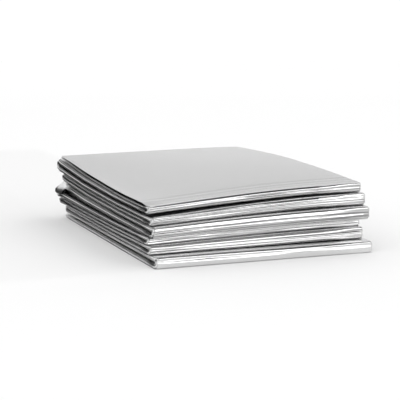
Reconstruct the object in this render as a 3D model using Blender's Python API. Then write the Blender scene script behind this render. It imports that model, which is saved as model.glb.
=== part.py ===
"""An emergency blanket of metallised film, folded into a packet, as one solid.

The real sheet is pleated into a strip of many layers, and the strip is laid back and forth in twelve
passes. Here the strip is one band, as thick as its layers and the air between them: a flat grid whose
vertices each take their place in the folded packet, and then a wall.

Metres, +Z up. X runs along the folds, Y from the front folds to the back ones. The origin is at the middle
of the packet's box, at its base.
"""

import math
from collections import namedtuple

import bmesh
import bpy
from mathutils import Vector

# The open sheet, 55 in by 82 in, and the strip that it is pleated into
SHEET_LENGTH = 2.083
PLEATED_LAYERS = 25
STRIP_WIDTH = SHEET_LENGTH / PLEATED_LAYERS

# The folded packet: its depth over the outermost folds, and how far in the strip's two ends stop
DEPTH = 0.1245
TOP_END_INSET = 0.0055
BASE_END_INSET = 0.0065

# A row for each fold, from the top down, with left and right for the packet's two ends.
# inset: how far the fold's nose lies behind the outermost one.
# height: over the fold's two passes and the core, which is the air between them.
# gap: from the fold to the next one below it.
# slip: how far the strip has wandered along X by then.
Fold = namedtuple(
    "Fold", "inset_left inset_right height_left height_right core gap_left gap_right slip"
)
FRONT_FOLDS = (
    Fold(0.0080, 0.0083, 0.00225, 0.00250, 0.00045, 0.00125, 0.00080, 0.0002),
    Fold(0.0054, 0.0056, 0.00240, 0.00320, 0.00045, 0.00050, 0.00100, 0.0004),
    Fold(0.0034, 0.0022, 0.00355, 0.00390, 0.00060, 0.00050, 0.00080, 0.0005),
    Fold(0.0082, 0.0083, 0.00225, 0.00235, 0.00045, 0.00050, 0.00080, 0.0003),
    Fold(0.0059, 0.0056, 0.00240, 0.00330, 0.00045, 0.00060, 0.00100, 0.0002),
    Fold(0.0013, 0.0000, 0.00410, 0.00410, 0.00070, 0.00000, 0.00000, 0.0000),
)
BACK_FOLDS = (
    Fold(0.0015, 0.0050, 0.00540, 0.00480, 0.00110, 0.00050, 0.00070, -0.0021),
    Fold(0.0080, 0.0035, 0.00310, 0.00360, 0.00050, 0.00050, 0.00070, -0.0004),
    Fold(0.0000, 0.0045, 0.00690, 0.00590, 0.00130, 0.00050, 0.00080, -0.0027),
    Fold(0.0025, 0.0000, 0.00255, 0.00300, 0.00045, 0.00080, 0.00080, -0.0019),
    Fold(0.0060, 0.0040, 0.00320, 0.00340, 0.00055, 0.00060, 0.00070, -0.0003),
)
TOP_END_WALL = 0.0010
TOP_END_GAP_LEFT = 0.0005
TOP_END_GAP_RIGHT = 0.0006
TOP_END_SLIP = -0.0012

# How far the top lies off a straight line from front to back, at the middle of each end
SAG_LEFT = -0.0017
SAG_RIGHT = 0.0018

# A nose's depth as a share of half its height
NOSE_FLATNESS = 0.92

PASSES = len(FRONT_FOLDS) + len(BACK_FOLDS) + 1
STATIONS_ACROSS = 13
STATIONS_ALONG_PASS = 8
STATIONS_ROUND_FOLD = 7

FILM_COLOUR = (0.80, 0.80, 0.81, 1.0)
FILM_ROUGHNESS = 0.22


def clear_scene():
    """Removes every object that the file opened with."""
    for thing in list(bpy.data.objects):
        bpy.data.objects.remove(thing)


def mixed(start, end, share):
    """The value that lies share of the way from start to end."""
    return start + (end - start) * share


def risen(left, right, place):
    """A value that changes from the left end to the right one, and most of it near the left."""
    return mixed(left, right, math.sin(0.5 * math.pi * place))


def depth_share(y):
    """0 at the outermost front nose and 1 at the outermost back one."""
    return y / DEPTH + 0.5


def fold_wall(fold, place):
    """The thickness of the two passes that a fold joins, at a place from 0, left, to 1, right."""
    return 0.5 * (risen(fold.height_left, fold.height_right, place) - fold.core)


def back_wall(strip_pass, place):
    """A pass's thickness at the back fold that it ends in, or at the strip's own end."""
    if strip_pass == 0:
        return TOP_END_WALL
    if strip_pass == PASSES - 1:
        return fold_wall(FRONT_FOLDS[-1], place)
    return fold_wall(BACK_FOLDS[(strip_pass - 1) // 2], place)


def wall_at(strip_pass, place, y):
    """A pass's thickness."""
    front_wall = fold_wall(FRONT_FOLDS[strip_pass // 2], place)
    return mixed(front_wall, back_wall(strip_pass, place), depth_share(y))


def front_gap(strip_pass, place):
    """The gap below a pass near the front: a fold's core, or the gap below that fold."""
    fold = FRONT_FOLDS[strip_pass // 2]
    if strip_pass % 2 == 0:
        return fold.core
    return risen(fold.gap_left, fold.gap_right, place)


def back_gap(strip_pass, place):
    """The gap below a pass near the back."""
    if strip_pass == 0:
        return risen(TOP_END_GAP_LEFT, TOP_END_GAP_RIGHT, place)
    fold = BACK_FOLDS[(strip_pass - 1) // 2]
    if strip_pass % 2 == 1:
        return fold.core
    return risen(fold.gap_left, fold.gap_right, place)


def gap_below(strip_pass, place, y):
    """The gap between a pass and the next one down. The top's sag is shared out over all of them."""
    gap = mixed(front_gap(strip_pass, place), back_gap(strip_pass, place), depth_share(y))
    sag = risen(SAG_LEFT, SAG_RIGHT, place) * math.sin(math.pi * depth_share(y))
    return gap + sag / (PASSES - 1)


def height_of(strip_pass, place, y):
    """The height of a pass's middle plane above the base."""
    height = 0.5 * wall_at(strip_pass, place, y)
    for above in range(strip_pass, PASSES - 1):
        height += gap_below(above, place, y) + wall_at(above + 1, place, y)
    return height


def side_of(turn):
    """-1 for a fold at the front, which comes after an even pass, and 1 for one at the back."""
    return -1.0 if turn % 2 == 0 else 1.0


def fold_at(turn):
    """The table row of a fold, by its number along the strip."""
    return (FRONT_FOLDS if turn % 2 == 0 else BACK_FOLDS)[turn // 2]


def nose_of(turn, place):
    """(y of a fold's centre, height of its centre, radius of the strip's middle plane round it)."""
    fold = fold_at(turn)
    outward = side_of(turn)
    tip = outward * (0.5 * DEPTH - mixed(fold.inset_left, fold.inset_right, place))
    half_height = 0.5 * risen(fold.height_left, fold.height_right, place)
    half_wall = 0.5 * wall_at(turn, place, tip)
    y = tip - outward * (NOSE_FLATNESS * (half_height - half_wall) + half_wall)
    above = height_of(turn, place, y)
    below = height_of(turn + 1, place, y)
    return y, 0.5 * (above + below), 0.5 * (above - below)


def pass_ends(strip_pass, place):
    """(y where the strip starts the pass, y where it ends it). The first pass starts at the back."""
    start = 0.5 * DEPTH - TOP_END_INSET
    end = 0.5 * DEPTH - BASE_END_INSET
    if strip_pass > 0:
        start = nose_of(strip_pass - 1, place)[0]
    if strip_pass < PASSES - 1:
        end = nose_of(strip_pass, place)[0]
    return start, end


def slip_at(strip_pass, along):
    """How far the strip has wandered along X, between the folds at the two ends of a pass."""
    start = TOP_END_SLIP if strip_pass == 0 else fold_at(strip_pass - 1).slip
    end = fold_at(min(strip_pass, PASSES - 2)).slip
    return mixed(start, end, along)


def pass_line(strip_pass, place):
    """The stations of one pass: (slip, y, z, wall) for each."""
    start, end = pass_ends(strip_pass, place)
    line = []
    for station in range(STATIONS_ALONG_PASS + 1):
        along = station / STATIONS_ALONG_PASS
        y = mixed(start, end, along)
        z = height_of(strip_pass, place, y)
        line.append((slip_at(strip_pass, along), y, z, wall_at(strip_pass, place, y)))
    return line


def fold_line(turn, place):
    """The stations round one fold, between its two passes: (slip, y, z, wall) for each."""
    centre_y, centre_z, radius = nose_of(turn, place)
    wall_above = wall_at(turn, place, centre_y)
    wall_below = wall_at(turn + 1, place, centre_y)
    line = []
    for station in range(1, STATIONS_ROUND_FOLD):
        turned = station / STATIONS_ROUND_FOLD
        y = centre_y + side_of(turn) * NOSE_FLATNESS * radius * math.sin(math.pi * turned)
        z = centre_z + radius * math.cos(math.pi * turned)
        line.append((fold_at(turn).slip, y, z, mixed(wall_above, wall_below, turned)))
    return line


def strip_line(place):
    """The strip's middle line at one place across its width, from its top end to its base end."""
    line = []
    for strip_pass in range(PASSES - 1):
        line.extend(pass_line(strip_pass, place))
        line.extend(fold_line(strip_pass, place))
    return line + pass_line(PASSES - 1, place)


def folded_grid(shape):
    """Lays a flat grid into the packet, and returns each vertex's wall thickness."""
    lines = [strip_line(station / (STATIONS_ACROSS - 1)) for station in range(STATIONS_ACROSS)]
    last_along = len(lines[0]) - 1
    last_across = STATIONS_ACROSS - 1
    bmesh.ops.create_grid(shape, x_segments=last_across, y_segments=last_along, size=1.0)
    walls = {}
    for vertex in shape.verts:
        across = round(0.5 * (vertex.co.x + 1.0) * last_across)
        along = round(0.5 * (vertex.co.y + 1.0) * last_along)
        slip, y, z, wall = lines[across][along]
        vertex.co = Vector(((across / last_across - 0.5) * STRIP_WIDTH + slip, y, z))
        walls[vertex.index] = wall
    return walls


def film_material():
    """Polyester film with a vacuum-deposited aluminium skin."""
    material = bpy.data.materials.new("metallised_film")
    material.use_nodes = True
    shader = material.node_tree.nodes["Principled BSDF"]
    shader.inputs["Base Color"].default_value = FILM_COLOUR
    shader.inputs["Metallic"].default_value = 1.0
    shader.inputs["Roughness"].default_value = FILM_ROUGHNESS
    return material


def add_walls(blanket, walls):
    """Gives the strip's middle plane its thickness, which differs from place to place."""
    thickest = max(walls.values())
    group = blanket.vertex_groups.new(name="wall")
    for index, wall in walls.items():
        group.add([index], wall / thickest, "REPLACE")
    solidify = blanket.modifiers.new("wall", "SOLIDIFY")
    solidify.thickness = thickest
    solidify.offset = 0.0
    solidify.use_even_offset = True
    solidify.vertex_group = group.name


def foil_blanket():
    """The folded blanket, as one back-and-forth band."""
    shape = bmesh.new()
    walls = folded_grid(shape)
    left = min(vertex.co.x for vertex in shape.verts)
    right = max(vertex.co.x for vertex in shape.verts)
    bmesh.ops.translate(shape, verts=shape.verts, vec=(-0.5 * (left + right), 0.0, 0.0))
    mesh = bpy.data.meshes.new("foil_blanket")
    shape.to_mesh(mesh)
    shape.free()
    mesh.shade_smooth()
    mesh.materials.append(film_material())
    blanket = bpy.data.objects.new("foil_blanket", mesh)
    bpy.context.scene.collection.objects.link(blanket)
    add_walls(blanket, walls)


clear_scene()
foil_blanket()
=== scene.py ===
"""The looks of a folded emergency blanket.

It is one sheet of metallised film, cut 1.397 m by 2.083 m. The sheet is pleated along its length into a
strip of 25 leaves, and the strip is laid back and forth in 12 passes.

Metres, +Z up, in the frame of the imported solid: X runs along the folds, and Y from the front folds to the
back ones.
"""

import logging
import math
import random
from dataclasses import dataclass, field
from enum import Enum
from typing import NamedTuple, Optional

import bmesh
import bpy
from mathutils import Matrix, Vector, noise


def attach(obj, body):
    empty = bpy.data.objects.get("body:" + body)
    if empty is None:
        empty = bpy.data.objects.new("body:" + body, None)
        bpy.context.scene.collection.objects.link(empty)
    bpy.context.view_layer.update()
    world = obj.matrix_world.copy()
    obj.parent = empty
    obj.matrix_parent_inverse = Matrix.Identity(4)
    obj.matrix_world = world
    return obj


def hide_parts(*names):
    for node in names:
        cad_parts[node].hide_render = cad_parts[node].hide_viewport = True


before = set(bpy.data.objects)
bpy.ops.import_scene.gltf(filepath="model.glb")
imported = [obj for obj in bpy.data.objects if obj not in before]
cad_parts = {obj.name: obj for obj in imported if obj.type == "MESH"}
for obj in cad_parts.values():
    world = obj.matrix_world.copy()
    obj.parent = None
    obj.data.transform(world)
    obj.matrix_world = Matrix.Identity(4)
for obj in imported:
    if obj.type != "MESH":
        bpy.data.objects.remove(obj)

log = logging.getLogger("foil_blanket")

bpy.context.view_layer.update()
MM = 0.001
FLAT_WIDTH = 1.397
FLAT_LENGTH = 2.083
LEAVES = 25


def mixed(start: float, end: float, share: float) -> float:
    """The value that lies share of the way from start to end."""
    return start + (end - start) * share


def risen(left: float, right: float, place: float) -> float:
    """A value that changes from the left end to the right one, and most of it near the left.

    Args:
        left: The value at the left end.
        right: The value at the right end.
        place: Where along X, from 0 at the left end to 1 at the right one.

    Returns:
        The value at that place.
    """
    return mixed(left, right, math.sin(0.5 * math.pi * place))


def eased(low: float, high: float, value: float) -> float:
    """A smooth step from 0 at low to 1 at high."""
    share = min(max((value - low) / (high - low), 0.0), 1.0)
    return share * share * (3.0 - 2.0 * share)


def nose_curve(angle: float, squareness: float) -> tuple[float, float]:
    """A point of a superellipse of radius 1.

    Args:
        angle: The direction from its centre, from straight up over straight ahead to straight down.
        squareness: 2 for a circle, and more for a boxier curve.

    Returns:
        How far ahead of the centre and how far above it the point lies.
    """
    ahead, above = math.sin(angle), math.cos(angle)
    reach = (abs(ahead) ** squareness + abs(above) ** squareness) ** (-1.0 / squareness)
    return reach * ahead, reach * above


def linear_from_hex(code: str) -> tuple[float, float, float, float]:
    """Turns an sRGB hex colour into a linear one.

    Args:
        code: Six hex digits, with or without a leading hash.

    Returns:
        Red, green, blue and an alpha of 1, as Blender's sockets take them.
    """
    digits = code.lstrip("#")
    channels = [int(digits[i : i + 2], 16) / 255.0 for i in (0, 2, 4)]
    linear = [c / 12.92 if c <= 0.04045 else ((c + 0.055) / 1.055) ** 2.4 for c in channels]
    return (linear[0], linear[1], linear[2], 1.0)


def add_node(
    tree: bpy.types.NodeTree,
    kind: str,
    settings: Optional[dict] = None,
    values: Optional[dict] = None,
    links: Optional[dict] = None,
) -> bpy.types.Node:
    """Adds one node with its settings, socket values and incoming links.

    Args:
        tree: The node tree.
        kind: The node's type, such as ShaderNodeTexNoise.
        settings: Attribute names and values of the node itself.
        values: Input sockets and their constant values.
        links: Input sockets and the output sockets that feed them.

    Returns:
        The new node.
    """
    node = tree.nodes.new(kind)
    for name, value in (settings or {}).items():
        setattr(node, name, value)
    for name, value in (values or {}).items():
        node.inputs[name].default_value = value
    for name, socket in (links or {}).items():
        tree.links.new(socket, node.inputs[name])
    return node


class End(Enum):
    """The packet's two ends, where the film's pleats turn back."""

    LEFT = -1
    RIGHT = 1


class Fold(NamedTuple):
    """A fold of the strip, with left and right for the packet's two ends.

    inset is how far the nose lies behind the outermost one. height goes over the fold's two passes and its
    core, which is the air between them. gap is the air down to the next fold. slip is how far the strip has
    wandered along X by then. upper and lower are how square the nose is above and below its tip, where 2 is
    an ellipse and more is boxier. crumple is how much the film there is crumpled, where 1 is usual.
    """

    inset_left: float
    inset_right: float
    height_left: float
    height_right: float
    core: float
    gap_left: float
    gap_right: float
    slip: float
    upper: float
    lower: float
    crumple: float


FRONT_FOLDS = (
    Fold(0.0080, 0.0083, 0.00265, 0.00300, 0.00045, 0.00090, 0.00030, -0.0004, 2.3, 3.6, 0.8),
    Fold(0.0054, 0.0056, 0.00280, 0.00405, 0.00045, 0.00010, 0.00015, -0.0001, 2.5, 3.6, 0.9),
    Fold(0.0034, 0.0022, 0.00395, 0.00455, 0.00060, 0.00010, 0.00015, -0.0002, 3.2, 3.6, 0.7),
    Fold(0.0082, 0.0083, 0.00270, 0.00305, 0.00045, 0.00005, 0.00010, -0.0006, 2.7, 3.4, 1.0),
    Fold(0.0059, 0.0056, 0.00290, 0.00410, 0.00045, 0.00010, 0.00020, -0.0006, 2.7, 3.6, 0.9),
    Fold(0.0013, 0.0000, 0.00410, 0.00410, 0.00070, 0.00000, 0.00000, 0.0000, 3.4, 3.6, 0.7),
)
BACK_FOLDS = (
    Fold(0.0015, 0.0050, 0.00540, 0.00480, 0.00110, 0.00050, 0.00070, -0.0021, 2.2, 2.2, 0.5),
    Fold(0.0060, 0.0035, 0.00340, 0.00390, 0.00050, 0.00020, 0.00040, -0.0010, 2.2, 2.2, 0.6),
    Fold(0.0000, 0.0045, 0.00690, 0.00590, 0.00130, 0.00050, 0.00080, -0.0027, 2.2, 2.2, 2.0),
    Fold(0.0025, 0.0000, 0.00255, 0.00300, 0.00045, 0.00080, 0.00080, -0.0019, 2.2, 2.2, 0.5),
    Fold(0.0060, 0.0040, 0.00320, 0.00340, 0.00055, 0.00060, 0.00070, -0.0003, 2.2, 2.2, 0.5),
)


class Crease(NamedTuple):
    """A soft trough that runs along a fold's nose.

    level is where it lies on the nose, from 1 at its top to -1 at its underside. spread is about half its
    width, on the same scale.
    """

    turn: int
    level: float
    depth: float
    spread: float


CREASES = (
    Crease(turn=0, level=0.10, depth=0.26 * MM, spread=0.15),
    Crease(turn=0, level=-0.50, depth=0.16 * MM, spread=0.14),
    Crease(turn=2, level=0.62, depth=0.24 * MM, spread=0.13),
    Crease(turn=2, level=0.28, depth=0.30 * MM, spread=0.15),
    Crease(turn=2, level=-0.14, depth=0.26 * MM, spread=0.15),
    Crease(turn=2, level=-0.52, depth=0.16 * MM, spread=0.14),
    Crease(turn=4, level=0.48, depth=0.14 * MM, spread=0.13),
    Crease(turn=4, level=0.00, depth=0.42 * MM, spread=0.15),
    Crease(turn=4, level=-0.52, depth=0.20 * MM, spread=0.14),
    Crease(turn=6, level=0.20, depth=0.26 * MM, spread=0.17),
    Crease(turn=6, level=-0.40, depth=0.28 * MM, spread=0.17),
    Crease(turn=8, level=0.12, depth=0.28 * MM, spread=0.14),
    Crease(turn=8, level=-0.45, depth=0.18 * MM, spread=0.14),
    Crease(turn=10, level=0.50, depth=0.18 * MM, spread=0.11),
    Crease(turn=10, level=0.38, depth=0.24 * MM, spread=0.28),
    Crease(turn=10, level=-0.42, depth=0.07 * MM, spread=0.12),
)


class TopLine(NamedTuple):
    """A faint trough across the top, beside the front edge.

    from_front is its distance from the edge at the middle. slant is how much further off it lies at the
    right end than at the left one.
    """

    from_front: float
    slant: float
    depth: float
    spread: float


TOP_LINES = (
    TopLine(from_front=0.0022, slant=-0.0010, depth=0.09 * MM, spread=0.0008),
    TopLine(from_front=0.0052, slant=0.0016, depth=0.14 * MM, spread=0.0009),
    TopLine(from_front=0.0095, slant=0.0008, depth=0.13 * MM, spread=0.0011),
)


class StripPoint(NamedTuple):
    """The strip at one station and one place along X.

    On a pass, (y, z) lies on the strip's middle line and radius is 0. Round a fold, (y, z) is the fold's
    centre and radius goes from there to the middle line. outward is -1 round a front fold, 1 round a back
    one and 0 on a pass. rise is 1 where the strip's first face looks away from the centre, or up, and -1
    elsewhere. nose is 1 at a fold's tip and falls to 0 along the passes. crumple is how much the film is
    crumpled there, where 1 is usual.
    """

    y: float
    z: float
    radius: float
    outward: float
    angle: float
    squareness: float
    rise: float
    wall: float
    slip: float
    nose: float
    crumple: float


# Shares of a plain leaf's width, and of a pass's length from its back end, where the film is most crumpled
LEAF_STATIONS = (0.0, 0.34, 0.70, 1.0)
PASS_STATIONS = (0.0, 0.017, 0.036, 0.060, 0.10, 0.35, 0.68, 0.93, 1.0)


class Row(NamedTuple):
    """One station along the strip: on a pass, or round the fold that ends it.

    share runs from 0 to 1 along that pass or round that fold.
    """

    turn: int
    share: float
    on_fold: bool


class Column(NamedTuple):
    """One station across the sheet: on a leaf, or round the bend that ends it.

    place is 0 at the packet's left end and 1 at its right one. bend is 0 on the leaf itself, and between 0
    and 1 round the pleat that joins it to the next leaf.
    """

    leaf: int
    place: float
    bend: float


@dataclass
class Strip:
    """The pleated strip as one thick band, laid back and forth.

    nose_flatness is a nose's depth as a share of half its height. nose_start is how strong the noses' lines
    already are where a fold begins, and nose_blend how soon they fade on the passes. centring puts the
    middle of the solid's box at X 0. From boxy_from to boxy_full along X the front noses turn boxy.
    """

    width: float = FLAT_LENGTH / LEAVES
    depth: float = 0.1245
    top_end_inset: float = 0.0055
    base_end_inset: float = 0.0065
    top_end_wall: float = 0.0010
    top_end_gap_left: float = 0.0005
    top_end_gap_right: float = 0.0006
    top_end_slip: float = -0.0012
    sag_left: float = -0.0017
    sag_right: float = 0.0018
    nose_flatness: float = 0.92
    nose_start: float = 0.35
    nose_blend: float = 0.0025
    centring: float = 0.0011
    boxy_from: float = 0.84
    boxy_full: float = 0.95
    boxy_squareness: float = 9.0

    @property
    def passes(self) -> int:
        """How many times the strip crosses the packet."""
        return len(FRONT_FOLDS) + len(BACK_FOLDS) + 1

    @staticmethod
    def fold_at(turn: int) -> Fold:
        """The table row of a fold, by its number along the strip."""
        return (FRONT_FOLDS if turn % 2 == 0 else BACK_FOLDS)[turn // 2]

    @staticmethod
    def outward(turn: int) -> float:
        """-1 for a front fold and 1 for a back one."""
        return -1.0 if turn % 2 == 0 else 1.0

    def depth_share(self, y: float) -> float:
        """0 at the outermost front nose and 1 at the outermost back one."""
        return y / self.depth + 0.5

    @staticmethod
    def fold_wall(fold: Fold, place: float) -> float:
        """The thickness of the two passes that a fold joins."""
        return 0.5 * (risen(fold.height_left, fold.height_right, place) - fold.core)

    def wall_at(self, strip_pass: int, place: float, y: float) -> float:
        """A pass's thickness.

        Args:
            strip_pass: The pass, counted from the top.
            place: Where along X.
            y: Where from front to back.

        Returns:
            The thickness of the pass's leaves and the air between them.
        """
        front = self.fold_wall(FRONT_FOLDS[strip_pass // 2], place)
        if strip_pass == 0:
            back = self.top_end_wall
        elif strip_pass == self.passes - 1:
            back = front
        else:
            back = self.fold_wall(BACK_FOLDS[(strip_pass - 1) // 2], place)
        return mixed(front, back, self.depth_share(y))

    def gap_below(self, strip_pass: int, place: float, y: float) -> float:
        """The gap between a pass and the next one down, with its share of the top's sag.

        Args:
            strip_pass: The pass, counted from the top.
            place: Where along X.
            y: Where from front to back.

        Returns:
            The height of the air there.
        """
        front_fold = FRONT_FOLDS[strip_pass // 2]
        back_fold = BACK_FOLDS[max(strip_pass - 1, 0) // 2]
        if strip_pass % 2 == 0:
            front = front_fold.core
            back = risen(back_fold.gap_left, back_fold.gap_right, place)
        else:
            front = risen(front_fold.gap_left, front_fold.gap_right, place)
            back = back_fold.core
        if strip_pass == 0:
            back = risen(self.top_end_gap_left, self.top_end_gap_right, place)
        share = self.depth_share(y)
        sag = risen(self.sag_left, self.sag_right, place) * math.sin(math.pi * share)
        return mixed(front, back, share) + sag / (self.passes - 1)

    def height_of(self, strip_pass: int, place: float, y: float) -> float:
        """The height of a pass's middle plane.

        Args:
            strip_pass: The pass, counted from the top.
            place: Where along X.
            y: Where from front to back.

        Returns:
            The height above the base.
        """
        height = 0.5 * self.wall_at(strip_pass, place, y)
        for above in range(strip_pass, self.passes - 1):
            height += self.gap_below(above, place, y) + self.wall_at(above + 1, place, y)
        return height

    def nose_of(self, turn: int, place: float) -> tuple[float, float, float]:
        """A fold's centre and radius.

        Args:
            turn: The fold, counted along the strip.
            place: Where along X.

        Returns:
            The centre's y and height, and the radius of the strip's middle plane round it.
        """
        fold = self.fold_at(turn)
        tip = self.outward(turn) * (0.5 * self.depth - mixed(fold.inset_left, fold.inset_right, place))
        half_height = 0.5 * risen(fold.height_left, fold.height_right, place)
        half_wall = 0.5 * self.wall_at(turn, place, tip)
        y = tip - self.outward(turn) * (self.nose_flatness * (half_height - half_wall) + half_wall)
        above = self.height_of(turn, place, y)
        below = self.height_of(turn + 1, place, y)
        return y, 0.5 * (above + below), 0.5 * (above - below)

    def pass_ends(self, strip_pass: int, place: float) -> tuple[float, float]:
        """Where the strip starts and ends a pass.

        Args:
            strip_pass: The pass, counted from the top.
            place: Where along X.

        Returns:
            The y of its start and the y of its end.
        """
        start = 0.5 * self.depth - self.top_end_inset
        end = 0.5 * self.depth - self.base_end_inset
        if strip_pass > 0:
            start = self.nose_of(strip_pass - 1, place)[0]
        if strip_pass < self.passes - 1:
            end = self.nose_of(strip_pass, place)[0]
        return start, end

    def crumple_at(self, strip_pass: int, y: float) -> float:
        """How crumpled a pass is, between its front fold and its back one."""
        back_row = min(max(strip_pass - 1, 0) // 2, len(BACK_FOLDS) - 1)
        return mixed(FRONT_FOLDS[strip_pass // 2].crumple, BACK_FOLDS[back_row].crumple, self.depth_share(y))

    def pass_point(self, row: Row, place: float) -> StripPoint:
        """The strip on a pass.

        Args:
            row: The station along the strip.
            place: Where along X.

        Returns:
            The strip there.
        """
        start, end = self.pass_ends(row.turn, place)
        y = mixed(start, end, row.share)
        slip_start = self.top_end_slip if row.turn == 0 else self.fold_at(row.turn - 1).slip
        slip_end = self.fold_at(min(row.turn, self.passes - 2)).slip
        to_start = abs(y - start) if row.turn > 0 else self.depth
        to_end = abs(y - end) if row.turn < self.passes - 1 else self.depth
        return StripPoint(
            y=y,
            z=self.height_of(row.turn, place, y),
            radius=0.0,
            outward=0.0,
            angle=0.0,
            squareness=2.0,
            rise=1.0 if row.turn % 2 == 0 else -1.0,
            wall=self.wall_at(row.turn, place, y),
            slip=mixed(slip_start, slip_end, row.share),
            nose=self.nose_start * math.exp(-min(to_start, to_end) / self.nose_blend),
            crumple=self.crumple_at(row.turn, y),
        )

    def fold_point(self, row: Row, place: float) -> StripPoint:
        """The strip round a fold.

        Args:
            row: The station along the strip.
            place: Where along X.

        Returns:
            The strip there.
        """
        fold = self.fold_at(row.turn)
        centre_y, centre_z, radius = self.nose_of(row.turn, place)
        wall_above = self.wall_at(row.turn, place, centre_y)
        wall_below = self.wall_at(row.turn + 1, place, centre_y)
        squareness = fold.upper if row.share < 0.5 else fold.lower
        if row.turn % 2 == 0:
            boxy = eased(self.boxy_from, self.boxy_full, place)
            squareness = mixed(squareness, self.boxy_squareness, boxy)
        return StripPoint(
            y=centre_y,
            z=centre_z,
            radius=radius,
            outward=self.outward(row.turn),
            angle=math.pi * row.share,
            squareness=squareness,
            rise=1.0 if row.turn % 2 == 0 else -1.0,
            wall=mixed(wall_above, wall_below, row.share),
            slip=fold.slip,
            nose=mixed(self.nose_start, 1.0, math.sin(math.pi * row.share)),
            crumple=fold.crumple,
        )

    def spot(
        self, point: StripPoint, offset: float, outer: float, swell: float = 0.0
    ) -> tuple[float, float]:
        """Where a leaf lies, seen from the packet's end.

        Args:
            point: The strip there.
            offset: How far the leaf lies off the middle line, towards the strip's first face.
            outer: 1 for the fold's outermost leaf and 0 for its innermost.
            swell: How much further up or down it lies for the strip's looseness.

        Returns:
            The leaf's y and z. Round a fold it follows a curve that is squarer the further out it lies.
        """
        if point.outward == 0.0:
            return point.y, point.z + point.rise * (offset + swell)
        arm = point.radius + point.rise * offset
        forward, upward = nose_curve(point.angle, mixed(2.0, point.squareness, outer))
        y = point.y + point.outward * self.nose_flatness * arm * forward
        return y, point.z + (arm + point.rise * swell) * upward

    def point(self, row: Row, place: float) -> StripPoint:
        """The strip at one station and one place along X."""
        return self.fold_point(row, place) if row.on_fold else self.pass_point(row, place)


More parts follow.
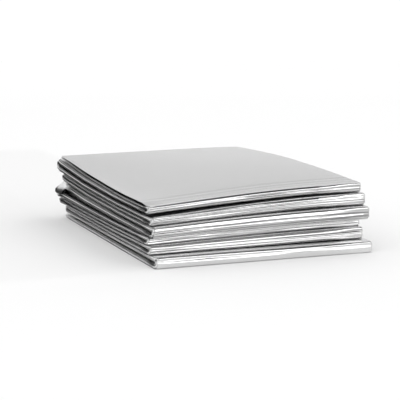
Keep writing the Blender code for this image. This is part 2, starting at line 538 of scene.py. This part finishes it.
@dataclass
class Pleats:
    """How the strip's leaves lie between its two faces, and how far each pleat reaches at the two ends.

    At the left end leaf 0 lies alone and the others are joined two by two. At the right end the last leaf
    lies alone. Some pleats are open loops, and most are pinched flat, in loose bunches. Loops and slots are
    sized beside each other, and together they fill the strip's thickness. wander is how far a pleat's reach
    changes along the strip. drift and breath shift the leaves between the faces, as shares of the thickness.
    """

    leaves: int = LEAVES
    seed: int = 8
    pinched_loop: float = 0.2
    small_loop: float = 3.5
    large_loop: float = 18.0
    close_slot: float = 0.2
    wide_slot: float = 3.5
    loop_range: tuple[float, float] = (0.85, 1.15)
    slot_range: tuple[float, float] = (0.8, 1.2)
    large_group: int = 6
    small_groups: tuple[int, int] = (2, 10)
    lone_reach: float = 0.10 * MM
    large_reach: float = 0.05 * MM
    small_reach: float = -0.20 * MM
    pinched_reach: float = -0.40 * MM
    open_spread: float = 0.24 * MM
    pinched_spread: float = 0.08 * MM
    wander: float = 0.07 * MM
    wander_length: float = 0.061
    second_wander: float = 0.5
    second_rate: float = 2.3
    drift: float = 0.09
    drift_length: float = 0.27
    drift_twist: float = 2.0
    breath: float = 0.035
    breath_length: float = 0.19
    breath_start: float = 1.3
    breath_twist: float = 3.0
    loops: dict = field(default_factory=dict)
    centres: dict = field(default_factory=dict)
    reaches: dict = field(default_factory=dict)
    phases: dict = field(default_factory=dict)

    def __post_init__(self) -> None:
        """Draws both ends' pleats, in a fixed order."""
        chance = random.Random(self.seed)
        for end in End:
            self._draw(end, chance)

    @property
    def groups(self) -> int:
        """How many pleats lie at an end, with the lone leaf as one of them."""
        return (self.leaves + 1) // 2

    @property
    def open_groups(self) -> tuple[int, ...]:
        """The pleats that are open loops."""
        return (self.large_group, *self.small_groups)

    def _draw(self, end: End, chance: random.Random) -> None:
        """Draws one end's loops, slots and reaches.

        Args:
            end: The packet's end.
            chance: The seeded random numbers.
        """
        lone = 0 if end is End.LEFT else self.groups - 1
        sizes = {lone: 0.0, self.large_group: self.large_loop}
        typical = {lone: self.lone_reach, self.large_group: self.large_reach}
        for group in self.small_groups:
            sizes[group], typical[group] = self.small_loop, self.small_reach
        loops, slots, reaches = [], [], []
        for group in range(self.groups):
            is_open = group in self.open_groups
            spread = self.open_spread if is_open else self.pinched_spread
            loops.append(sizes.get(group, self.pinched_loop) * chance.uniform(*self.loop_range))
            slots.append((self.wide_slot if is_open else self.close_slot) * chance.uniform(*self.slot_range))
            reaches.append(typical.get(group, self.pinched_reach) + chance.uniform(-0.5, 0.5) * spread)
        slots.pop()
        if end is End.LEFT:
            slots[0] = self.wide_slot
        total = sum(loops) + sum(slots)
        centres, at = [], 0.0
        for group in range(self.groups):
            centres.append((at + 0.5 * loops[group]) / total)
            at += loops[group] + (slots[group] if group < len(slots) else 0.0)
        self.loops[end] = [loop / total for loop in loops]
        self.centres[end] = centres
        self.reaches[end] = reaches
        self.phases[end] = [chance.uniform(0.0, math.tau) for _ in range(self.groups)]

    def group_of(self, leaf: int, end: End) -> int:
        """The pleat that a leaf belongs to at one end."""
        return (leaf + 1) // 2 if end is End.LEFT else leaf // 2

    def is_open(self, leaf: int) -> bool:
        """Whether the pleat after a leaf is an open loop."""
        return self.group_of(leaf, self.end_after(leaf)) in self.open_groups

    @staticmethod
    def end_after(leaf: int) -> End:
        """The end where a leaf turns back into the next one."""
        return End.RIGHT if leaf % 2 == 0 else End.LEFT

    def share_at(self, leaf: int, end: End) -> float:
        """Where a leaf lies at one end.

        Args:
            leaf: The leaf.
            end: The packet's end.

        Returns:
            0 at the strip's first face and 1 at its last.
        """
        group = self.group_of(leaf, end)
        first_of_pair = (leaf % 2 == 1) if end is End.LEFT else (leaf % 2 == 0)
        half = 0.5 * self.loops[end][group]
        return self.centres[end][group] + (-half if first_of_pair else half)

    def share(self, leaf: int, place: float, length: float) -> float:
        """Where a leaf lies between the strip's faces.

        Args:
            leaf: The leaf.
            place: Where along X.
            length: How far along the strip.

        Returns:
            0 at the strip's first face and 1 at its last.
        """
        share = mixed(self.share_at(leaf, End.LEFT), self.share_at(leaf, End.RIGHT), place)
        drift_turn = math.tau * length / self.drift_length + self.drift_twist * place
        breath_turn = math.tau * length / self.breath_length + self.breath_start + self.breath_twist * place
        shift = self.drift * math.sin(drift_turn) * math.sin(math.pi * share)
        shift += self.breath * math.sin(breath_turn) * math.sin(math.tau * share)
        return share + shift

    def reach(self, leaf: int, end: End, length: float) -> float:
        """How far a leaf's pleat reaches past the packet's plain end.

        Args:
            leaf: The leaf.
            end: The packet's end.
            length: How far along the strip.

        Returns:
            The reach, which is negative where the pleat stays back.
        """
        group = self.group_of(leaf, end)
        phase = self.phases[end][group]
        turn = math.tau * length / self.wander_length
        second = math.sin(self.second_rate * turn + 2.0 * phase)
        wander = math.sin(turn + phase) + self.second_wander * second
        return self.reaches[end][group] + self.wander * wander


@dataclass
class Unevenness:
    """The small shifts of the film: waves all over, and crumpling at the back and the front left corner.

    A size is how far apart the waves or crumples lie, and a height is how far they shift the film. The
    crumpling at the back fades to right_share of itself towards the right.
    """

    wave_size: float = 0.034
    wave_height: float = 0.14 * MM
    end_wave_size: float = 0.016
    end_wave_height: float = 0.10 * MM
    crumple_size: float = 0.0058
    crumple_height: float = 0.45 * MM
    crumple_from: float = 0.044
    crumple_full: float = 0.060
    right_share: float = 0.55
    right_until: float = 0.02
    left_from: float = -0.04
    fine_size: float = 0.0026
    fine_height: float = 0.32 * MM
    corner_size: float = 0.0034
    corner_height: float = 0.34 * MM
    corner_from: tuple[float, float] = (-0.030, -0.050)
    corner_full: tuple[float, float] = (-0.041, -0.059)
    base_height: float = 0.0035
    half_width: float = 0.0417
    end_width: float = 0.012
    seed: int = 5

    def __post_init__(self) -> None:
        """Fixes the vector noise, which Blender would otherwise seed by the clock."""
        noise.seed_set(self.seed)

    def shift(self, point: Vector, crumpled: float) -> Vector:
        """How far the film at a point lies off its plain place.

        Args:
            point: The plain place.
            crumpled: How much it is crumpled, where 1 is usual.

        Returns:
            The shift, which fades out towards the flat base.
        """
        wave = noise.noise_vector(point / self.wave_size) * self.wave_height
        near_end = eased(self.half_width - self.end_width, self.half_width, abs(point.x))
        end_wave = noise.noise_vector(point / self.end_wave_size) * self.end_wave_height * near_end
        back = eased(self.crumple_from, self.crumple_full, point.y)
        left = mixed(self.right_share, 1.0, eased(self.right_until, self.left_from, point.x))
        crumple = noise.noise_vector(point / self.crumple_size) * self.crumple_height * back * left
        if crumpled > 1.0:
            crumple += noise.noise_vector(point / self.fine_size) * self.fine_height * back * left
        at_left = eased(-self.corner_from[0], -self.corner_full[0], -point.x)
        at_front = eased(-self.corner_from[1], -self.corner_full[1], -point.y)
        corner = noise.noise_vector(point / self.corner_size) * self.corner_height * at_left * at_front
        lifted = eased(0.0, self.base_height, point.z)
        total = (wave + end_wave + (crumple + corner) * crumpled) * lifted
        return Vector((total.x, total.y, total.z))


@dataclass(frozen=True)
class MetallisedFilm:
    """Polyester film, 0.012 mm, with a vacuum-deposited aluminium skin on both faces.

    Rolled and folded at the factory, so it is satin rather than a clean mirror: a fine crinkle blurs what it
    reflects all over, and faint lines run along the folds' noses. Finer marks are left to the roughness.
    """

    colour: str = "#DFDFDF"
    roughness: float = 0.24
    roughness_spread: float = 0.03
    noise_low: float = 0.3
    noise_high: float = 0.7
    # Sizes on the flat sheet. A pixel of the render is about 0.4 mm of it. The real lines may be finer: they
    # are drawn 0.8 mm apart to show, and the crinkle is a few pixels wide.
    crinkle_mm: float = 2.4
    crinkle_height_mm: float = 0.005
    line_pitch_mm: float = 0.8
    line_length_mm: float = 45.0
    line_height_mm: float = 0.045

    def make(self) -> bpy.types.Material:
        """Makes the material.

        Returns:
            The film's material, whose patterns follow the flat sheet through its UV map, in metres.
        """
        material = bpy.data.materials.new("vacuum_metallised_polyester_film")
        material.use_nodes = True
        tree = material.node_tree
        shader = tree.nodes["Principled BSDF"]
        shader.inputs["Base Color"].default_value = linear_from_hex(self.colour)
        shader.inputs["Metallic"].default_value = 1.0
        flat = add_node(tree, "ShaderNodeUVMap", {"uv_map": "flat_sheet"})
        crinkle = add_node(
            tree,
            "ShaderNodeTexNoise",
            values={"Scale": 1000.0 / self.crinkle_mm, "Detail": 3.0, "Roughness": 0.5},
            links={"Vector": flat.outputs["UV"]},
        )
        along = 1000.0 / self.line_length_mm
        across = 1000.0 / self.line_pitch_mm
        stretched = add_node(
            tree,
            "ShaderNodeMapping",
            values={"Scale": (along, across, 1.0)},
            links={"Vector": flat.outputs["UV"]},
        )
        lines = add_node(
            tree,
            "ShaderNodeTexNoise",
            values={"Scale": 1.0, "Detail": 2.0, "Roughness": 0.5},
            links={"Vector": stretched.outputs["Vector"]},
        )
        creased = add_node(tree, "ShaderNodeAttribute", {"attribute_name": "creased"})
        strong_lines = add_node(
            tree,
            "ShaderNodeMath",
            {"operation": "MULTIPLY"},
            links={0: lines.outputs["Fac"], 1: creased.outputs["Fac"]},
        )
        crinkled = add_node(
            tree,
            "ShaderNodeBump",
            values={"Strength": 1.0, "Distance": self.crinkle_height_mm * MM},
            links={"Height": crinkle.outputs["Fac"]},
        )
        lined = add_node(
            tree,
            "ShaderNodeBump",
            values={"Strength": 1.0, "Distance": self.line_height_mm * MM},
            links={"Height": strong_lines.outputs["Value"], "Normal": crinkled.outputs["Normal"]},
        )
        satin = add_node(
            tree,
            "ShaderNodeMapRange",
            values={
                "From Min": self.noise_low,
                "From Max": self.noise_high,
                "To Min": self.roughness - self.roughness_spread,
                "To Max": self.roughness + self.roughness_spread,
            },
            links={"Value": lines.outputs["Fac"]},
        )
        tree.links.new(lined.outputs["Normal"], shader.inputs["Normal"])
        tree.links.new(satin.outputs["Result"], shader.inputs["Roughness"])
        return material


@dataclass(frozen=True)
class PaleFloor:
    """Board painted matt white, which shows soft shadows and hardly a reflection."""

    colour: str = "#FBFBFB"
    roughness: float = 0.85

    def make(self) -> bpy.types.Material:
        """Makes the floor's material.

        Returns:
            The material.
        """
        material = bpy.data.materials.new("matt_white_board")
        material.use_nodes = True
        shader = material.node_tree.nodes["Principled BSDF"]
        shader.inputs["Base Color"].default_value = linear_from_hex(self.colour)
        shader.inputs["Roughness"].default_value = self.roughness
        return material


class CardColour(Enum):
    """The colours of the cards that stand round the packet."""

    BLACK = "#262626"
    SLATE_GREY = "#7C7C7C"
    STONE_GREY = "#BCBCBC"
    MID_GREY = "#C6C6C6"
    PALE_GREY = "#E6E6E6"


@dataclass(frozen=True)
class FlockedCard:
    """Card flocked with short fibres, so it is matt from all sides. The film shows it as even bands."""

    colour: CardColour
    roughness: float = 0.9

    def make(self) -> bpy.types.Material:
        """Makes the card's material.

        Returns:
            The material, named for the card's colour.
        """
        material = bpy.data.materials.new(f"flocked_card_{self.colour.name.lower()}")
        material.use_nodes = True
        shader = material.node_tree.nodes["Principled BSDF"]
        shader.inputs["Base Color"].default_value = linear_from_hex(self.colour.value)
        shader.inputs["Roughness"].default_value = self.roughness
        return material


@dataclass
class FoilSheet:
    """The sheet of film, from its cut edges to its creases.

    The first leaf is the one that shows on top and round the front folds, and it has the most stations. At
    the noses' ends the leaves draw in, and lean at the front ones. Near the right end the gaps between the
    folds close. Along the top's left edge the first leaf lifts, and the others sink to leave a slot, which
    is smallest at the back. The cap is the last leaf's left end, which is drawn out over one back fold,
    while the other leaves' ends retreat.
    """

    strip: Strip = field(default_factory=Strip)
    pleats: Pleats = field(default_factory=Pleats)
    unevenness: Unevenness = field(default_factory=Unevenness)
    flat_width: float = FLAT_WIDTH
    flat_length: float = FLAT_LENGTH
    film: float = 0.012 * MM
    steps_across_first_leaf: int = 25
    steps_across_last_leaf: int = 16
    steps_round_open_loop: int = 5
    steps_along_top: int = 9
    steps_near_front: int = 11
    near_front: float = 0.90
    steps_round_front_fold: int = 26
    steps_round_back_fold: int = 8
    corner_draw: float = 0.9 * MM
    corner_skew: float = 0.60 * MM
    closed_length: float = 0.0045
    closing_length: float = 0.013
    crease_length: float = 0.021
    crease_mean: float = 0.8
    crease_change: float = 1.2
    first_leaf_lift: float = 0.07 * MM
    edge_lift: float = 0.50 * MM
    edge_width: float = 0.0065
    edge_slot: float = 0.50
    edge_at_back: float = 0.3
    edge_whole: float = 0.15
    edge_fade: float = 0.96
    cap_turn: int = 5
    cap_width: float = 3.6 * MM
    cap_reach: float = 1.5 * MM
    cap_drop: float = 1.9 * MM
    cap_full: float = 0.006
    cap_end: float = 0.015
    cap_until: float = 0.3
    cap_retreat: float = 3.0 * MM
    cap_give: float = 0.009
    top_crumple: float = 0.05

    def rows(self) -> list[Row]:
        """The stations along the strip, closer together near the folds.

        Returns:
            One row for each station, from the strip's top end to its base end.
        """
        top = [self.near_front * step / self.steps_along_top for step in range(self.steps_along_top)]
        near = self.steps_near_front
        top += [mixed(self.near_front, 1.0, step / near) for step in range(near + 1)]
        from_front = [1.0 - share for share in reversed(PASS_STATIONS)]
        rows = []
        for turn in range(self.strip.passes):
            plain = from_front if turn % 2 == 1 else PASS_STATIONS
            rows.extend(Row(turn, share, False) for share in (top if turn == 0 else plain))
            if turn == self.strip.passes - 1:
                break
            steps = self.steps_round_front_fold if turn % 2 == 0 else self.steps_round_back_fold
            rows.extend(Row(turn, step / steps, True) for step in range(1, steps))
        return rows

    def columns(self) -> list[Column]:
        """The stations across the sheet, leaf by leaf, which run left and right in turn.

        Returns:
            One column for each station, from the first leaf to the last.
        """
        last_leaf = self.pleats.leaves - 1
        close = {0: self.steps_across_first_leaf, last_leaf: self.steps_across_last_leaf}
        columns = []
        for leaf in range(self.pleats.leaves):
            places = LEAF_STATIONS
            if leaf in close:
                steps = close[leaf]
                places = [0.5 - 0.5 * math.cos(math.pi * step / steps) for step in range(steps + 1)]
            in_order = places if leaf % 2 == 0 else reversed(places)
            columns.extend(Column(leaf, place, 0.0) for place in in_order)
            if leaf < last_leaf and self.pleats.is_open(leaf):
                steps = self.steps_round_open_loop
                columns.extend(Column(leaf, columns[-1].place, step / steps) for step in range(1, steps))
        return columns

    def crease_depth(self, row: Row, point: StripPoint, place: float) -> float:
        """How deep the creases are at one station, as they fade and come back along the fold.

        Args:
            row: The station along the strip.
            point: The strip there.
            place: Where along X.

        Returns:
            The depth below the plain film.
        """
        depth = 0.0
        if row.on_fold and row.turn % 2 == 0:
            level = nose_curve(point.angle, point.squareness)[1]
            for number, crease in enumerate(CREASES):
                if crease.turn == row.turn:
                    off = (level - crease.level) / crease.spread
                    # Each crease has its own line through the noise, which is 0 at whole numbers
                    along = noise.noise(Vector((place * self.strip.width / self.crease_length, number, 0.5)))
                    strength = max(self.crease_mean + self.crease_change * along, 0.0)
                    depth += crease.depth * math.exp(-off * off) * strength
        if row.turn == 0 and not row.on_fold:
            from_front = (1.0 - row.share) * self.strip.depth
            for line in TOP_LINES:
                bent = line.from_front + line.slant * (place - 0.5)
                off = (from_front - bent) / line.spread
                depth += line.depth * math.exp(-off * off)
        return depth

    def closing(self, row: Row, place: float) -> float:
        """How much each face swells near the right end, where the folds' gaps close.

        Args:
            row: The station along the strip.
            place: Where along X.

        Returns:
            The shift of the strip's faces away from its middle line.
        """
        if not row.on_fold and row.turn == 0:
            return 0.0
        if row.turn >= self.strip.passes - 2:
            return 0.0
        to_right = (1.0 - place) * self.strip.width
        lower_pass = row.turn | 1
        gap = self.strip.gap_below(lower_pass, place, -0.5 * self.strip.depth)
        lower = 0.5 - 0.5 * math.cos(math.pi * row.share) if row.turn == 0 else 1.0
        return 0.5 * gap * lower * (1.0 - eased(self.closed_length, self.closing_length, to_right))

    def freedom(self, row: Row) -> float:
        """How free the first leaf is to bow out.

        Args:
            row: The station along the strip.

        Returns:
            1 in general, and 0 where the leaf lies against the floor.
        """
        if row.turn == self.strip.passes - 1:
            return 0.0
        return 1.0 - row.share if row.on_fold and row.turn == self.strip.passes - 2 else 1.0

    def offset(self, row: Row, column: Column, point: StripPoint, length: float) -> tuple[float, float]:
        """How far the film lies off the strip's middle line, towards its first face.

        Args:
            row: The station along the strip.
            column: The station across the sheet.
            point: The strip there.
            length: The length along the strip so far.

        Returns:
            The offset, and how far the film bulges past the leaf's end where it turns back.
        """
        share = self.pleats.share(column.leaf, column.place, length)
        bulge = 0.0
        if column.bend > 0.0:
            following = self.pleats.share(column.leaf + 1, column.place, length)
            half = 0.5 * (following - share)
            share = share + half - half * math.cos(math.pi * column.bend)
            bulge = abs(half) * point.wall * math.sin(math.pi * column.bend)
        outer = 1.0 - share if row.turn % 2 == 0 else share
        dent = self.crease_depth(row, point, column.place) * outer * outer * point.rise
        offset = (point.wall - self.film) * (0.5 - share) - dent
        if column.leaf == 0:
            offset += self.first_leaf_lift * self.freedom(row) * math.sin(math.pi * column.place)
        if row.turn == 0 and not row.on_fold:
            near_left = math.exp(-column.place * self.strip.width / self.edge_width)
            risen_to = mixed(self.edge_at_back, 1.0, min(row.share / self.edge_whole, 1.0))
            near_left *= risen_to * (1.0 - eased(self.edge_fade, 1.0, row.share))
            if column.leaf == 0:
                offset += self.edge_lift * near_left
            else:
                offset -= self.edge_slot * near_left * point.wall * (1.0 - share)
        return offset, bulge

    def place(self, row: Row, column: Column, point: StripPoint, length: float) -> Vector:
        """Where a spot of the sheet lies in the packet.

        Args:
            row: The station along the strip.
            column: The station across the sheet.
            point: The strip's middle line there.
            length: The length along the strip so far.

        Returns:
            The spot's place.
        """
        offset, bulge = self.offset(row, column, point, length)
        share = self.pleats.share(column.leaf, column.place, length)
        outer = 1.0 - share if row.turn % 2 == 0 else share
        draw = self.corner_draw * point.nose * outer
        skew = self.corner_skew * math.cos(point.angle) * outer if point.outward < 0.0 else 0.0
        left = -0.5 * self.strip.width - self.pleats.reach(column.leaf, End.LEFT, length) + draw + skew
        right = 0.5 * self.strip.width + self.pleats.reach(column.leaf, End.RIGHT, length) - draw
        x = mixed(left, right, column.place) + point.slip + self.strip.centring
        x += bulge * (1.0 if column.place > 0.5 else -1.0)
        swell = self.closing(row, column.place) * (1.0 - 2.0 * share)
        place = Vector((x, *self.strip.spot(point, offset, outer, swell)))
        place += self.cap(row, column, place)
        on_top = row.turn == 0 and not row.on_fold
        return place + self.unevenness.shift(place, self.top_crumple if on_top else point.crumple)

    def cap(self, row: Row, column: Column, place: Vector) -> Vector:
        """How the outermost leaf is drawn out at the left end of one back fold, over the other leaves' ends.

        Args:
            row: The station along the strip.
            column: The station across the sheet.
            place: The spot's place without the cap.

        Returns:
            The shift. The other leaves' ends only lie further back there.
        """
        last_leaf = self.pleats.leaves - 1
        from_end = column.place * self.strip.width
        if row.turn != self.cap_turn or from_end > self.cap_give:
            return Vector()
        centre_y, centre_z, _ = self.strip.nose_of(self.cap_turn, 0.0)
        hold = 1.0 - eased(self.cap_full, self.cap_end, centre_y - place.y)
        if row.on_fold:
            hold = 1.0 - eased(self.cap_until, 1.0, row.share)
        if column.leaf < last_leaf:
            return Vector((self.cap_retreat * hold * (1.0 - from_end / self.cap_give), 0.0, 0.0))
        if from_end > self.cap_width:
            return Vector()
        angle = 0.5 * math.pi * (1.0 - from_end / self.cap_width)
        out = (self.cap_width + self.cap_reach) * math.sin(angle) + from_end - self.cap_width
        inward = 1.0 - math.cos(angle)
        to_centre = centre_y - place.y if row.on_fold else 0.0
        down = centre_z - self.cap_drop - place.z
        return Vector((-out, to_centre * inward, down * inward)) * hold

    def is_pinched(self, columns: list[Column], number: int) -> bool:
        """Whether a column is the sharp end of a leaf, where its pleat is pinched flat."""
        near = columns[max(number - 1, 0) : number + 2]
        return any(a.leaf != b.leaf and a.bend == 0.0 and b.bend == 0.0 for a, b in zip(near, near[1:]))

    def strip_points(self, rows: list[Row], columns: list[Column]) -> dict:
        """The strip for every row, at each place along X that a column uses."""
        places = sorted({column.place for column in columns})
        return {(i, place): self.strip.point(row, place) for i, row in enumerate(rows) for place in places}

    def lengths(self, rows: list[Row], points: dict) -> list[float]:
        """The length along the strip at each row, at its left end.

        Args:
            rows: The stations along the strip.
            points: The strip for every row and place.

        Returns:
            The lengths, in the rows' order.
        """
        lengths = [0.0]
        for i in range(1, len(rows)):
            last = self.strip.spot(points[i - 1, 0.0], 0.0, 0.5)
            here = self.strip.spot(points[i, 0.0], 0.0, 0.5)
            lengths.append(lengths[-1] + math.hypot(here[0] - last[0], here[1] - last[1]))
        return lengths

    def shape(self) -> bpy.types.Mesh:
        """Folds a flat grid into the packet.

        Returns:
            The mesh, with its flat places in metres in the UV map flat_sheet, and how near each spot is to a
            fold's nose in the attribute creased.
        """
        rows, columns = self.rows(), self.columns()
        points = self.strip_points(rows, columns)
        lengths = self.lengths(rows, points)
        last_row, last_column = len(rows) - 1, len(columns) - 1
        shape = bmesh.new()
        bmesh.ops.create_grid(shape, x_segments=last_column, y_segments=last_row, size=1.0)
        creased = shape.verts.layers.float.new("creased")
        flat = {}
        across_of = {}
        for vertex in shape.verts:
            across = round(0.5 * (vertex.co.x + 1.0) * last_column)
            across_of[vertex] = across
            along = round(0.5 * (vertex.co.y + 1.0) * last_row)
            column, row = columns[across], rows[along]
            run = column.place if column.leaf % 2 == 0 else 1.0 - column.place
            flat[vertex] = ((column.leaf + run) * self.strip.width, lengths[along])
            point = points[along, column.place]
            vertex.co = self.place(row, column, point, lengths[along])
            vertex[creased] = point.nose
        layer = shape.loops.layers.uv.new("flat_sheet")
        for face in shape.faces:
            for loop in face.loops:
                loop[layer].uv = flat[loop.vert]
        for edge in shape.edges:
            first, second = (across_of[vertex] for vertex in edge.verts)
            pinched = first == second and self.is_pinched(columns, first)
            edge.smooth = not (edge.is_boundary or pinched)
        mesh = bpy.data.meshes.new("foil_sheet")
        shape.to_mesh(mesh)
        shape.free()
        mesh.shade_smooth()
        return mesh

    def make(self) -> bpy.types.Object:
        """Returns:
            The sheet, in place of the plain solid.
        """
        mesh = self.shape()
        mesh.materials.append(MetallisedFilm().make())
        sheet = bpy.data.objects.new("foil_sheet", mesh)
        bpy.context.scene.collection.objects.link(sheet)
        solidify = sheet.modifiers.new("film_thickness", "SOLIDIFY")
        solidify.thickness = self.film
        solidify.offset = 0.0
        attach(sheet, "root")
        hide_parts("foil_blanket")
        log.info("foil_sheet: %d faces before its thickness", len(mesh.polygons))
        return sheet


@dataclass(frozen=True)
class Softbox:
    """A soft light: its place, where it points, its size and how bright its face is."""

    name: str
    place: tuple[float, float, float]
    aim: tuple[float, float, float]
    width: float
    height: float
    radiance: float

    def make(self) -> bpy.types.Object:
        """Hangs the light.

        Returns:
            The light.
        """
        lamp = bpy.data.lights.new(self.name, "AREA")
        lamp.shape = "RECTANGLE"
        lamp.size = self.width
        lamp.size_y = self.height
        lamp.energy = self.radiance * math.pi * self.width * self.height
        light = bpy.data.objects.new(self.name, lamp)
        bpy.context.scene.collection.objects.link(light)
        light.location = self.place
        direction = Vector(self.aim) - Vector(self.place)
        light.rotation_euler = direction.to_track_quat("-Z", "Y").to_euler()
        return light


@dataclass(frozen=True)
class Flag:
    """A card outside the picture, for the film's reflections: its colour, place, direction and size."""

    name: str
    colour: CardColour
    place: tuple[float, float, float]
    aim: tuple[float, float, float]
    width: float
    height: float

    def make(self, material: bpy.types.Material) -> bpy.types.Object:
        """Hangs the card.

        Args:
            material: The flocked card in this flag's colour.

        Returns:
            The card, hidden from the camera, from shadows and from diffuse light.
        """
        shape = bmesh.new()
        bmesh.ops.create_grid(shape, x_segments=1, y_segments=1, size=0.5)
        bmesh.ops.scale(shape, verts=shape.verts, vec=(self.width, self.height, 1.0))
        mesh = bpy.data.meshes.new(self.name)
        shape.to_mesh(mesh)
        shape.free()
        mesh.materials.append(material)
        card = bpy.data.objects.new(self.name, mesh)
        bpy.context.scene.collection.objects.link(card)
        card.location = self.place
        direction = Vector(self.aim) - Vector(self.place)
        card.rotation_euler = direction.to_track_quat("Z", "Y").to_euler()
        card.visible_camera = False
        card.visible_shadow = False
        card.visible_diffuse = False
        return card


FLAGS = (
    Flag("top_flag", CardColour.BLACK, (0.42, -0.42, 0.60), (0.42, -0.42, 0.0), 0.64, 1.06),
    Flag("left_flag", CardColour.BLACK, (-0.46, 0.56, 0.10), (0.0, 0.0, 0.10), 0.95, 0.20),
    Flag("low_flag", CardColour.BLACK, (-0.3485, 0.32, 0.001), (-0.3485, 0.32, 1.0), 0.603, 0.76),
    Flag("rear_flag", CardColour.SLATE_GREY, (-0.02, 0.86, 0.03), (-0.02, 0.0, 0.03), 0.17, 0.06),
    Flag("rear_low_flag", CardColour.SLATE_GREY, (-0.015, 0.21, 0.001), (-0.015, 0.21, 1.0), 0.065, 0.28),
    Flag("front_card", CardColour.MID_GREY, (0.10, -0.52, 0.001), (0.10, -0.52, 1.0), 1.1, 0.9),
    Flag("floor_strip", CardColour.SLATE_GREY, (0.10, -0.086, 0.002), (0.10, -0.086, 1.0), 1.1, 0.022),
    Flag("back_card", CardColour.PALE_GREY, (0.40, 1.00, 0.20), (0.0, 0.0, 0.20), 0.9, 0.40),
    Flag("high_card", CardColour.STONE_GREY, (0.40, 1.00, 0.52), (0.0, 0.0, 0.52), 0.9, 0.24),
)


@dataclass
class Studio:
    """The pale floor, the soft light and the camera at the photo's viewing angle."""

    centre: tuple[float, float, float] = (0.0, 0.0, 0.013)
    azimuth: float = -22.0
    elevation: float = 8.5
    distance: float = 0.4224
    lens: float = 95.0
    floor_radius: float = 4.0
    floor_segments: int = 96
    softbox_place: tuple[float, float, float] = (0.44, -1.0, 0.30)
    softbox_width: float = 0.50
    softbox_height: float = 0.36
    softbox_radiance: float = 1.85
    daylight: str = "#FFFFFF"
    daylight_strength: float = 1.04

    def make_floor(self) -> bpy.types.Object:
        """Lays the floor.

        Returns:
            The floor.
        """
        shape = bmesh.new()
        segments = self.floor_segments
        bmesh.ops.create_circle(shape, cap_ends=True, segments=segments, radius=self.floor_radius)
        mesh = bpy.data.meshes.new("floor")
        shape.to_mesh(mesh)
        shape.free()
        mesh.materials.append(PaleFloor().make())
        floor = bpy.data.objects.new("floor", mesh)
        bpy.context.scene.collection.objects.link(floor)
        return floor

    def make_light(self) -> None:
        """Fills the room with pale light, and hangs the softbox and the flags."""
        world = bpy.data.worlds.new("pale_room")
        world.use_nodes = True
        sky = world.node_tree.nodes["Background"]
        sky.inputs["Color"].default_value = linear_from_hex(self.daylight)
        sky.inputs["Strength"].default_value = self.daylight_strength
        bpy.context.scene.world = world
        Softbox(
            name="front_softbox",
            place=self.softbox_place,
            aim=self.centre,
            width=self.softbox_width,
            height=self.softbox_height,
            radiance=self.softbox_radiance,
        ).make()
        cards = {colour: FlockedCard(colour).make() for colour in CardColour}
        for flag in FLAGS:
            flag.make(cards[flag.colour])

    def make_camera(self) -> bpy.types.Object:
        """Sets up the camera.

        Returns:
            The camera, aimed at the packet's middle.
        """
        azimuth, elevation = math.radians(self.azimuth), math.radians(self.elevation)
        back = Vector(
            (
                math.sin(azimuth) * math.cos(elevation),
                -math.cos(azimuth) * math.cos(elevation),
                math.sin(elevation),
            )
        )
        data = bpy.data.cameras.new("camera")
        data.lens = self.lens
        camera = bpy.data.objects.new("camera", data)
        bpy.context.scene.collection.objects.link(camera)
        camera.location = Vector(self.centre) + self.distance * back
        camera.rotation_euler = (-back).to_track_quat("-Z", "Y").to_euler()
        bpy.context.scene.camera = camera
        return camera

    def make(self) -> None:
        """Sets up the whole studio."""
        bpy.context.scene.view_settings.view_transform = "Standard"
        self.make_camera()
        self.make_floor()
        self.make_light()
        log.info("studio: floor, room light, softbox, flags and camera")


def main() -> None:
    """Builds the studio and the sheet."""
    logging.basicConfig(level=logging.INFO, format="%(name)s: %(message)s")
    Studio().make()
    FoilSheet().make()


if __name__ == "__main__":
    main()
